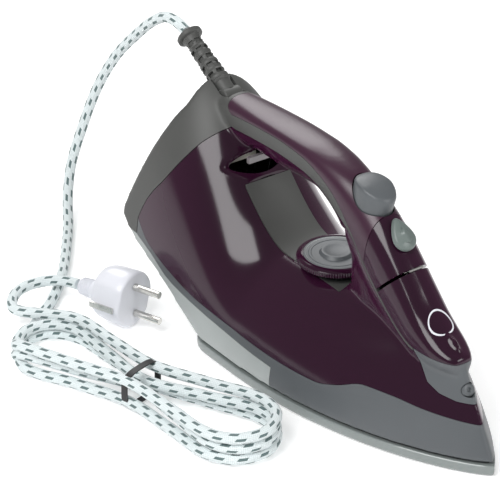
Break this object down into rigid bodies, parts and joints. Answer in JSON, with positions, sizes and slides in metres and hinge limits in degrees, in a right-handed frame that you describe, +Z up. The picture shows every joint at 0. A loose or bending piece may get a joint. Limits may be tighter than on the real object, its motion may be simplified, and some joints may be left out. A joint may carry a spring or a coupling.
{
  "type": "steam iron",
  "caption": "Corded steam iron with a see-through water tank, ribless soleplate, spray button, steam lever, temperature dial, swivelling cord guard, coiled cord and mains plug.",
  "frame": {"origin": "middle of the iron's footprint box (cord and plug left out), on the ironing surface", "axes": "+X towards the toe, +Y towards the left side of a person holding it, +Z up from the sole"},
  "size_m": [0.4213, 0.2235, 0.1738],
  "materials": {
    "aubergine_gloss": "gloss, dark translucent",
    "aubergine_soft": "satin soft-touch",
    "dark_grey": "fine texture",
    "mid_grey": "satin",
    "pale_grey": "satin",
    "lever_grey": "satin",
    "black_plastic": "matte",
    "white_plastic": "semi-gloss",
    "clear_lens": "gloss",
    "braided_cord": "textile braid with grey flecks",
    "silicone": "matte",
    "cast_aluminium": "as cast",
    "coated_sole": "enamelled, glossy",
    "plated_steel": "nickel plated",
    "brass": "turned",
    "ceramic": "matte"
  },
  "bodies": {
    "iron": {"soleplate": "coated_sole", "sole_gasket": "silicone", "heater_casting": "cast_aluminium", "steam_chamber_cover": "plated_steel", "heater_terminal_left": "plated_steel", "heater_terminal_right": "plated_steel", "thermal_fuse": "ceramic", "lower_skirt": "mid_grey", "heel_base": "pale_grey", "handle_frame": "dark_grey", "handle_band_left": "dark_grey", "handle_band_right": "dark_grey", "water_tank": "aubergine_gloss", "tank_floor": "aubergine_soft", "deck_plate": "dark_grey", "indicator_lens": "clear_lens", "handle_cover": "aubergine_soft", "console_panel": "aubergine_gloss", "flap_hinge_pin": "plated_steel", "nozzle_plate": "mid_grey", "spray_nozzle": "mid_grey", "pump_body": "white_plastic", "button_spring": "plated_steel", "spray_pipe": "silicone", "steam_valve_seat": "brass", "thermostat": "ceramic", "signal_lamp": "clear_lens", "terminal_block": "ceramic", "cable_clamp": "white_plastic", "heel_screw_left": "plated_steel", "heel_screw_right": "plated_steel", "cord_lead": "braided_cord", "cord_hank": "braided_cord", "cord_tail": "braided_cord", "cable_tie": "black_plastic", "plug_body": "white_plastic", "plug_grip": "white_plastic", "plug_pin_upper": "plated_steel", "plug_pin_lower": "plated_steel", "earth_contact_front": "plated_steel", "earth_contact_back": "plated_steel"},
    "dial": {"temperature_dial": "mid_grey", "dial_shaft": "white_plastic"},
    "lever": {"steam_lever": "lever_grey", "lever_spindle": "white_plastic"},
    "steam_valve": {"steam_valve_rod": "plated_steel"},
    "button": {"spray_button": "mid_grey", "pump_plunger": "white_plastic"},
    "flap": {"filler_flap": "aubergine_gloss"},
    "guard": {"cord_guard": "dark_grey"}
  },
  "joints": [
    {"name": "dial_turn", "type": "hinge", "parent": "iron", "child": "dial", "pos_m": [0.004, 0, 0.078], "axis": [0, 0, 1], "range_deg": [0, 270]},
    {"name": "lever_turn", "type": "hinge", "parent": "iron", "child": "lever", "pos_m": [0.065, 0, 0.1152], "axis": [0.6899, 0, 0.7239], "range_deg": [-28, 28]},
    {"name": "valve_lift", "type": "slide", "parent": "iron", "child": "steam_valve", "axis": [0, 0, 1], "range_m": [-0.003, 0.003]},
    {"name": "button_press", "type": "slide", "parent": "iron", "child": "button", "axis": [-0.2, 0, -0.9798], "range_m": [0, 0.004], "stiffness_N_per_m": 400, "springref_m": -0.0005, "deforming": ["button_spring"]},
    {"name": "flap_open", "type": "hinge", "parent": "iron", "child": "flap", "pos_m": [0.078, 0, 0.1025], "axis": [0, -1, 0], "range_deg": [0, 55]},
    {"name": "guard_swivel", "type": "hinge", "parent": "iron", "child": "guard", "pos_m": [-0.105, 0, 0.141], "axis": [0, 1, 0], "range_deg": [-15, 15]}
  ],
  "couplings": [
    {"joint": "lever_turn", "follows": "valve_lift", "rad_per_m": 162}
  ]
}
